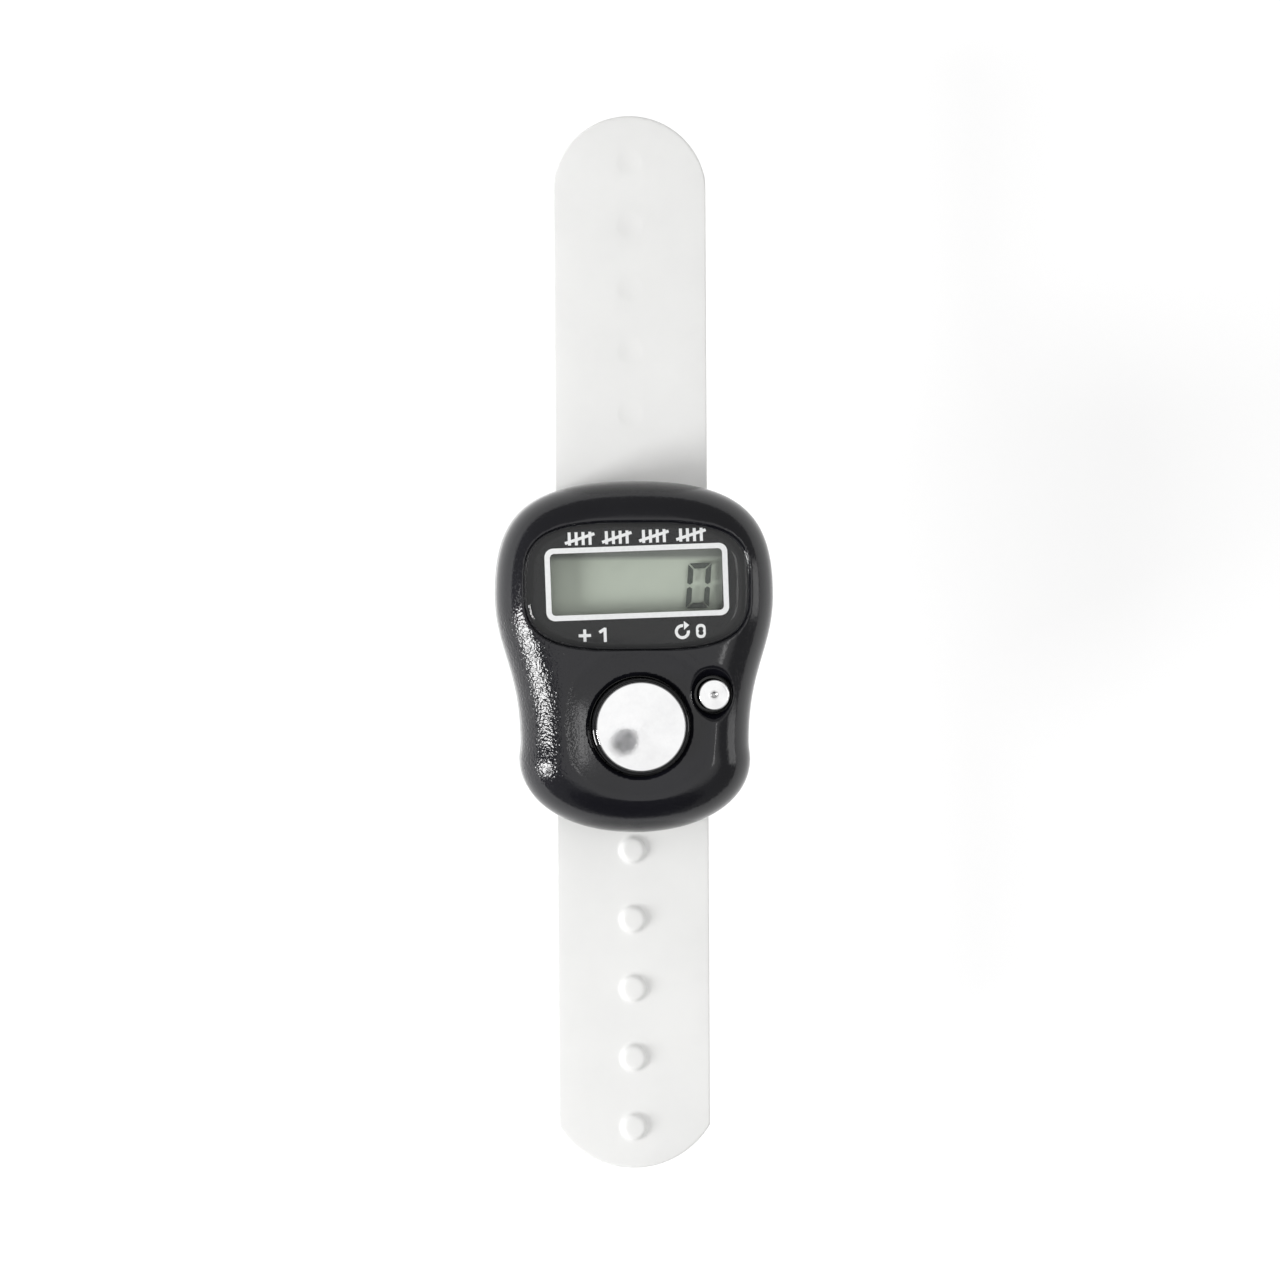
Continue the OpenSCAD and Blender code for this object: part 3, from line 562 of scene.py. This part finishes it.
def window_edge(x, y, a, b):
    gx, gy = np.abs((x - WIN[0]) / a), np.abs((y - WIN[1]) / b)
    s = np.maximum((gx ** WIN_POWER + gy ** WIN_POWER) ** (1 / WIN_POWER), 1e-3)
    slope = np.hypot(gx ** (WIN_POWER - 1) / a, gy ** (WIN_POWER - 1) / b) / s ** (WIN_POWER - 1)
    return (s - 1) / np.maximum(slope, 0.03)


def cell_block(x, y, z, half, z0, z1):
    """A block about the middle of the display cell."""
    return block(x, y, z, LCD[0] - half[0], LCD[0] + half[0], LCD[1] - half[1], LCD[1] + half[1], z0, z1)


def top_shell(x, y, z):
    outside = crown(inset(x, y), z)
    f = smax(outside, PART_Z - z, 0.16)
    f = cut(f, np.maximum(outside + WALL, z - CEILING), 0.1)
    f = cut(f, cell_block(x, y, z, CELL_HALF, WELL_Z, CELL_TOP), 0.05)
    f = cut(f, cell_block(x, y, z, VIEW_HALF, WELL_Z, 14.0), 0.05)
    f = cut(f, np.maximum(window_edge(x, y, *LENS_HALF), LENS_SEAT - z), 0.28)
    dish = np.sqrt((x - KEY[0]) ** 2 + (y - KEY[1]) ** 2 + (z - DISH_Z - DISH_R) ** 2) - DISH_R
    f = cut(f, dish, 0.16)
    f = cut(f, np.maximum(bored(x, y, KEY, STEP_R), STEP_Z - z), 0.05)
    f = cut(f, np.maximum(bored(x, y, KEY, KEY_HOLE), WELL_Z - z), 0.12)
    hole = bored(x, y, RKEY, RKEY_HOLE)
    flare = (hole - (z - RKEY_FLARE_Z)) * math.sqrt(0.5)
    f = cut(f, np.maximum(np.maximum(hole, flare), WELL_Z - z), 0.05)
    f = cut(f, flare, 0.22)
    f = cut(f, np.maximum(hole, WELL_Z - z), 0.12)
    return cut(f, np.maximum(bored(x, y, RKEY, RKEY_ROOM), slab(z, WELL_Z, CEILING)), 0.05)


moulding("top_shell_moulding", top_shell, ((-16.3, -20.5, 5.2), (16.3, 20.5, 13.8)),
         0.205, "black_abs", "top_shell")

# ------------------------------------------------------------------ back shell

TURN_R, TURN_H = 2.6, 3.2  # the rounded turn from the side to the underside
BACK_WALL, FLOOR_T = 1.8, 1.3  # thickness of the side and of the floor
SEAM = 0.06  # gap between the two shells
CHANNEL_HALF, CHANNEL_H = 8.85, 2.6  # the strap's channel
BAR_HALF, BAR_Y, BAR_H = 9.2, (9.5, 12.3), 1.1  # the two bars under the strap
BAY = (-7.1, 7.1, -9.0, 8.4, 0.0, 3.4)  # the battery bay
LATCH = (-3.1, 3.1, 8.0, 9.45, 2.9, 3.4)  # the slot for the door's tongue
HEAD_R, SHANK_R = 1.6, 1.0  # the case screws' recess and hole


def back_shell(x, y, z):
    d = inset(x, y)
    u = np.clip(1 - d / TURN_R, 0, None)
    w = np.clip(1 - z / TURN_H, 0, None)
    f = (u ** 2 + w ** 2 - 1) / np.maximum(2 * np.hypot(u / TURN_R, w / TURN_H), 0.15)
    f = smax(f, z - (PART_Z - SEAM), 0.16)
    roof = np.maximum(np.abs(x) - CHANNEL_HALF - 1.2, z - CHANNEL_H - 1.4)
    f = cut(f, np.maximum(np.maximum(BACK_WALL - d, FLOOR_T - z), -roof), 0.1)
    f = cut(f, np.maximum(np.abs(x) - CHANNEL_HALF, z - CHANNEL_H), 0.35)
    f = cut(f, block(x, y, z, *BAY), 0.12)
    f = cut(f, block(x, y, z, *LATCH), 0.05)
    for at in SCREWS:
        f = cut(f, np.maximum(bored(x, y, at, HEAD_R), slab(z, 0.0, 3.6)), 0.12)
        f = cut(f, np.maximum(bored(x, y, at, SHANK_R), slab(z, 0.0, 6.0)), 0.05)
    for y0, y1 in ((-BAR_Y[1], -BAR_Y[0]), BAR_Y):
        bar = smax(np.maximum(np.abs(x) - BAR_HALF, slab(y, y0, y1)), slab(z, 0.0, BAR_H), 0.5)
        f = smin(f, bar, 0.25)
    return f


moulding("back_shell_moulding", back_shell, ((-16.3, -20.5, -0.4), (16.3, 20.5, 5.9)),
         0.2, "black_abs", "back_shell")

# ------------------------------------------------------------------ keys


def lathe(name, profile, axis, material, segs=144):
    """A closed turned form. The profile is a list of (radius, z) that starts and ends on the axis."""
    verts, faces, rings = [], [], []
    for r, z in profile:
        if r < 1e-6:
            rings.append([len(verts)])
            verts.append((axis[0], axis[1], z))
        else:
            rings.append(list(range(len(verts), len(verts) + segs)))
            for i in range(segs):
                a = 2 * math.pi * i / segs
                verts.append((axis[0] + r * math.cos(a), axis[1] + r * math.sin(a), z))
    for a, b in zip(rings[:-1], rings[1:]):
        for i in range(segs):
            j = (i + 1) % segs
            if len(a) == 1:
                faces.append((a[0], b[i], b[j]))
            elif len(b) == 1:
                faces.append((a[i], b[0], a[j]))
            else:
                faces.append((a[i], b[i], b[j], a[j]))
    return make_object(name, verts, faces, material)


def fillet(profile, steps=6):
    """Rounds the corners of a polyline. Each corner is (radius from the axis, z, rounding)."""
    out = [profile[0][:2]]
    for before, (px, pz, r), after in zip(profile[:-2], profile[1:-1], profile[2:]):
        if r <= 0:
            out.append((px, pz))
            continue
        p, a, b = (np.array(q, float) for q in ((px, pz), before[:2], after[:2]))
        u, w = (a - p) / np.linalg.norm(a - p), (b - p) / np.linalg.norm(b - p)
        half = math.acos(max(-1, min(1, float(u @ w)))) / 2
        t = r / math.tan(half)
        c = p + (u + w) / np.linalg.norm(u + w) * (r / math.sin(half))
        a0, a1 = (math.atan2(*(q - c)[::-1]) for q in (p + u * t, p + w * t))
        turn = (a1 - a0 + math.pi) % (2 * math.pi) - math.pi
        for k in range(steps + 1):
            an = a0 + turn * k / steps
            out.append((c[0] + r * math.cos(an), c[1] + r * math.sin(an)))
    out.append(profile[-1][:2])
    return out


def count_key():
    """A plated cup with a flange, a wall, a grooved rim and a face that rises a little to its middle."""
    cup_r, wall_r, flange_r = 4.6, 5.45, 6.2
    flange_z0, flange_z1, roof_z, boss_r, boss_z = 9.65, 10.4, 13.3, 1.5, 12.4
    t = KEY_TOP
    inside = [(0, boss_z, 0), (boss_r, boss_z, 0.1), (boss_r, roof_z, 0.2), (cup_r, roof_z, 0.2),
              (cup_r, flange_z0, 0.1)]
    flange = [(flange_r, flange_z0, 0.1), (flange_r, flange_z1, 0.1), (wall_r, flange_z1, 0.1)]
    rim = [(wall_r, t - 0.66, 0.08), (5.3, t - 0.55, 0.05), (5.2, t - 0.68, 0.03), (5.1, t - 0.68, 0.03),
           (5.03, t - 0.1, 0.03), (4.93, t - 0.062, 0.03)]
    face = [(r, t - drop, 0) for r, drop in ((4.88, 0.0605), (4.8, 0.0585), (4.5, 0.052), (4.0, 0.042),
                                             (3.0, 0.024), (1.5, 0.006), (0, 0))]
    return lathe("count_key_cap", fillet(inside + flange + rim + face), KEY, MAT["plated_chrome"], 192)


def reset_key():
    """A small plated pin with a flange, and a dimple in its top."""
    pin_r, flange_r, flange_z0, flange_z1 = 1.73, 2.58, 9.87, 10.4
    t = RKEY_TOP
    stem = [(0, flange_z0, 0), (flange_r, flange_z0, 0.1), (flange_r, flange_z1, 0.1), (pin_r, flange_z1, 0.1)]
    face = [(pin_r, t - 0.02, 0.16), (1.5, t, 0), (1.42, t, 0), (1.3, t - 0.008, 0)]
    dimple = [(0.9, t - 0.04, 0.3), (0.56, t - 0.08, 0.2), (0.36, t - 0.14, 0.1), (0.26, t - 0.22, 0.1),
              (0.12, t - 0.3, 0), (0, t - 0.3, 0)]
    return lathe("reset_key_cap", fillet(stem + face + dimple), RKEY, RESET_CHROME, 96)


fit(count_key(), "count_key", "plated_chrome", "count_button")
fit(reset_key(), "reset_key", "plated_chrome", "reset_button")

# ------------------------------------------------------------------ snap domes of the two switches


def snap_dome(name, axis, cad, thick=0.09, steps=14):
    """A thin spherical cap, like the real switch's dome that sinks under the plunger as the key goes down; this one
    rides on the case.
    """
    lo, hi = span(cad)
    z0, z1, r = lo[2], hi[2], (hi[0] - lo[0]) / 2
    rise = z1 - z0
    ball = (r * r + rise * rise) / (2 * rise)
    c = z1 - ball

    def arc(ball_r, rim_r):
        radii = [rim_r * k / steps for k in range(steps + 1)]
        return [(q, c + math.sqrt(ball_r ** 2 - q ** 2)) for q in radii]

    inner = arc(ball - thick, math.sqrt((ball - thick) ** 2 - (z0 - c) ** 2))
    o = lathe(name, inner + arc(ball, r)[::-1], axis, MAT["switch_steel"], 72)
    fit(o, "case", "switch_steel", cad)
    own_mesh(o)


snap_dome("count_snap_dome", KEY, "count_switch_dome")
snap_dome("reset_snap_dome", RKEY, "reset_switch_dome")

# ------------------------------------------------------------------ display window


def joined_rings(first, n):
    """Quads between two rings of n points, the second of which follows the first."""
    return [(first + i, first + (i + 1) % n, first + n + (i + 1) % n, first + n + i) for i in range(n)]


def window(segs=360, steps=18):
    """The clear lens: a squared ellipse with an upright side and a rounded shoulder, flat on top."""
    a, b, side_z, lean_x, lean_y = 12.55, 7.05, 12.16, 2.2, 0.6
    turns = [math.pi / 2 * i / steps for i in range(1, steps + 1)]
    shoulder = [(1 - math.cos(t), side_z + (WIN_Z1 - side_z) * math.sin(t)) for t in turns]
    rings = [(p, z, 1.0) for p, z in [(0.0, WIN_Z0), (0.0, side_z)] + shoulder]
    rings += [(shoulder[-1][0], WIN_Z1, k) for k in (0.8, 0.6, 0.4, 0.2)]
    angle = 2 * math.pi * (np.arange(segs) + 0.5) / segs
    c, s = (np.sign(w) * np.abs(w) ** (2 / WIN_POWER) for w in (np.cos(angle), np.sin(angle)))
    verts, faces = [], []
    for p, z, k in rings:
        if verts:
            faces += joined_rings(len(verts) - segs, segs)
        verts += [(WIN[0] + x, WIN[1] + y, z) for x, y in zip((a - lean_x * p) * k * c, (b - lean_y * p) * k * s)]
    last, mid = len(verts) - segs, len(verts)
    verts.append((WIN[0], WIN[1], WIN_Z1))
    faces += [(last + i, last + (i + 1) % segs, mid) for i in range(segs)]
    return make_object("window_lens", verts, faces, MAT["clear_window"])


fit(window(), "case", "clear_window", "display_window")

# ------------------------------------------------------------------ glass of the display cell


def cell_glass(corner=0.25, bevel=0.06):
    """Rear glass, overhanging front glass and front film, as one stepped slab with chamfered edges."""
    rear, front, film = span("lcd_rear_glass"), span("lcd_front_glass"), span("lcd_front_polariser")

    def ring(sheet, grow, z):
        (x0, y0, _), (x1, y1, _) = sheet
        x0, x1, y0, y1 = x0 - grow + corner, x1 + grow - corner, y0 - grow + corner, y1 + grow - corner
        turns = [(cx, cy, math.radians(start + 22.5 * k))
                 for cx, cy, start in ((x1, y1, 0), (x0, y1, 90), (x0, y0, 180), (x1, y0, 270)) for k in range(5)]
        return [(cx + corner * math.cos(a), cy + corner * math.sin(a), z) for cx, cy, a in turns]

    z0, z1, z2, z3 = rear[0][2], front[0][2], front[1][2], film[1][2]
    rings = [ring(rear, -bevel, z0), ring(rear, 0, z0 + bevel), ring(rear, 0, z1),
             ring(front, -bevel, z1), ring(front, 0, z1 + bevel), ring(front, 0, z2 - bevel),
             ring(front, -bevel, z2), ring(film, 0, z2), ring(film, -0.02, z3)]
    n = len(rings[0])
    verts = [p for r in rings for p in r]
    faces = [list(range(n))[::-1], list(range(len(verts) - n, len(verts)))]
    for k in range(len(rings) - 1):
        faces += joined_rings(k * n, n)
    return make_object("lcd_cell_glass", verts, faces, MAT["polariser"], smooth=False)


fit(cell_glass(), "case", "polariser", "lcd_front_polariser", "lcd_front_glass", "lcd_rear_glass")

# ------------------------------------------------------------------ strap

STRAP_T, STRAP_HALF = 1.2, span("strap_centre")[1][0]
LIFT, FALL_Y, FALL_RUN = 1.25, 13.0, 5.8  # how high it lies over the bars, and where it comes down
UP_TIP, LOW_TIP = span("strap_upper_5")[1][1], span("strap_lower_5")[0][1]
UP_END_R, LOW_END_R = 8.85, 10.2
SOCKETS = [27.8 + 7.2 * i for i in range(5)]
STUDS = [-22.4 - 8.0 * i for i in range(5)]
SOCKET_R, SOCKET_ROOF, SINK_R, SINK = 1.6, 0.3, 1.5, 0.07
STUD_R, STUD_H = 1.45, 0.65
BENDS_FROM = 17.2  # the strap is free to bend from here out


def round_end(x, past, r):
    """The outline of one end in plan: straight sides, and an arc where past is above nought."""
    return np.where(past > 0, np.hypot(x, past), np.abs(x)) - r


def strap(x, y, z):
    """The whole moulded band, flat but for the rise over the bars, with its sockets and studs."""
    ramp = np.clip((np.abs(y) - FALL_Y) / FALL_RUN, 0, 1)
    middle_z = LIFT * (1 - ramp * ramp * (3 - 2 * ramp)) + STRAP_T / 2
    upper = round_end(x, y - (UP_TIP - UP_END_R), UP_END_R)
    lower = round_end(x, LOW_TIP + LOW_END_R - y, LOW_END_R)
    plan = np.maximum(smax(np.abs(x) - STRAP_HALF, upper, 0.1), lower)
    f = smax(plan, np.abs(z - middle_z) - STRAP_T / 2, 0.12)
    for at in SOCKETS:
        r = bored(x, y, (0.0, at), 0.0)
        f = cut(f, smax(r - SOCKET_R, z - (STRAP_T - SOCKET_ROOF), 0.3), 0.16)
        sink = SINK * (1 - (r / SINK_R) ** 2)
        f = np.where(sink > 0, np.maximum(f, z - STRAP_T + sink), f)
    for at in STUDS:
        stud = smax(bored(x, y, (0.0, at), STUD_R), slab(z, 0.3, STRAP_T + STUD_H), 0.6)
        f = smin(f, stud, 0.45)
    return f


def strap_pieces():
    """The band's skin, parted into lengths halfway between the bending lines; the middle length rides on the case.
    """
    step = 0.26
    v, q = nets(strap, (-9.1, LOW_TIP - 0.5, -0.3), (9.1, UP_TIP + 0.5, 2.75), (step / 2, step, step * 0.62))
    face_y = v[q].mean(1)[:, 1]

    def length(name, mask):
        used, faces = np.unique(q[mask], return_inverse=True)
        o = make_object(name, v[used], faces.reshape(-1, 4), MAT["silicone"])
        return o

    middle = length("strap_skin_middle", np.abs(face_y) <= BENDS_FROM)
    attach(middle, "case")
    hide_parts("strap_centre")
    joints = {j["name"]: j for j in frame["joints"]}
    for side, way in (("upper", 1.0), ("lower", -1.0)):
        bends = [joints["strap_%s_bend_%d" % (side, k)] for k in range(1, 6)]
        at = [bend["pos_m"][1] * 1000.0 - Y_MID for bend in bends]
        marks = [way * BENDS_FROM] + [(a + b) / 2 for a, b in zip(at[:-1], at[1:])]
        marks.append(2 * at[-1] - marks[-1])
        for k, bend in enumerate(bends):
            past = np.inf if k == 4 else way * marks[k + 1]
            mask = (way * face_y > way * marks[k]) & (way * face_y <= past)
            o = length("strap_skin_%s_%d" % (side, k + 1), mask)
            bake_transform(o)
            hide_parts("strap_%s_%d" % (side, k + 1))


strap_pieces()

# ------------------------------------------------------------------ stage


def stage_mesh(name, verts, material):
    me = bpy.data.meshes.new(name)
    me.from_pydata(verts, [], [list(range(len(verts)))])
    me.materials.append(material)
    o = bpy.data.objects.new(name, me)
    bpy.context.scene.collection.objects.link(o)


def softly_lit():
    """White that gives off a little light of its own, so that the floor stays pale and even."""
    m, nt = new_mat("floor_white")
    p = node(nt, "ShaderNodeBsdfPrincipled", Roughness=0.9, Base_Color=(0.45, 0.45, 0.45, 1),
             Emission_Color=(1, 1, 1, 1), Emission_Strength=0.61)
    return close(m, nt, p)


# The floor lies low enough for the strap to curl above it.
FLOOR_HALF, FLOOR_Z = 1.6, -0.0275
stage_mesh("floor", [(x * FLOOR_HALF, y * FLOOR_HALF, FLOOR_Z) for x, y in ((-1, -1), (1, -1), (1, 1), (-1, 1))],
           softly_lit())

# A small mottled grey disc hangs above, where a lens would be mirrored in the count key.
DISC, DISC_R = (0.0219, -0.0509, 0.650), 0.0120
DISC_TURNS = [math.radians(a) for a in range(0, 360, 10)]
stage_mesh("dark_disc", [(DISC[0] + DISC_R * math.cos(a), DISC[1] + DISC_R * math.sin(a), DISC[2])
                         for a in DISC_TURNS],
           principled("flag_grey", (0.0, 0.0, 0.0), (0.5, 0.5, 0.51), rough=(0.8, 0.9), scale=330.0))

# ------------------------------------------------------------------ light


def area(name, zenith, azimuth, size, radiance, distance=0.8):
    """A rectangular light aimed at the object from a direction in degrees, given by what its face radiates."""
    z, a = math.radians(zenith), math.radians(azimuth)
    at = Vector((math.sin(z) * math.cos(a), math.sin(z) * math.sin(a), math.cos(z))) * distance
    d = bpy.data.lights.new(name, "AREA")
    d.shape = "RECTANGLE"
    d.size, d.size_y = size
    d.energy = radiance * math.pi * size[0] * size[1]
    o = bpy.data.objects.new(name, d)
    o.location = at
    o.rotation_mode = "QUATERNION"
    o.rotation_quaternion = (-at).to_track_quat("-Z", "Y")
    bpy.context.scene.collection.objects.link(o)


area("key_left", 66, 197, (0.25, 0.41), 24.0)
area("fill_right", 77, 0, (0.25, 0.32), 1.8)
area("fill_dish", 25, 0, (0.28, 0.08), 3.2)


def studio():
    """A sky that is bright overhead and dim to the sides, with a dark patch towards the key end."""
    world = bpy.data.worlds.new("studio")
    bpy.context.scene.world = world
    world.use_nodes = True
    nt = world.node_tree

    def toward(direction, stops):
        """Greys by the cosine of the angle from a direction."""
        cosine = vector(nt, "DOT_PRODUCT", here(nt, "Generated"), Vector(direction).normalized())
        return ramp(nt, cosine, stops, "EASE")

    dome = toward((0.10, -0.02, 1.0), [(0.0, 0.32), (0.5, 0.33), (0.74, 0.36), (0.88, 1.0), (1.0, 1.04)])
    dark = toward((0.02, -0.883, 0.469), [(0.885, 1.0), (0.925, 0.35), (1.0, 0.25)])
    background = nt.nodes["Background"]
    background.inputs["Strength"].default_value = 1.0
    nt.links.new(mix_colour(nt, dome, dark, how="MULTIPLY"), background.inputs["Color"])


studio()

# ------------------------------------------------------------------ camera


def aim_camera():
    """From straight above, leaning a little to the left, with a slight roll."""
    data = bpy.data.cameras.new("camera")
    data.sensor_width, data.lens = 36.0, 148.0
    data.clip_start, data.clip_end = 0.05, 10.0
    cam = bpy.data.objects.new("camera", data)
    aim = Vector((0.0006, 0.0019 + Y_MID * MM, 0.007))
    cam.location = aim + Vector((-0.058, 0.028, 1.0)).normalized() * 0.5997
    back = (cam.location - aim).normalized()
    roll = math.radians(-0.4)
    right = Vector((math.cos(roll), math.sin(roll), 0))
    right = (right - back * right.dot(back)).normalized()
    cam.rotation_euler = Matrix((right, back.cross(right), back)).transposed().to_euler()
    bpy.context.scene.collection.objects.link(cam)
    bpy.context.scene.camera = cam


aim_camera()
bpy.context.scene.view_settings.view_transform = "Standard"
bpy.context.scene.view_settings.look = "None"
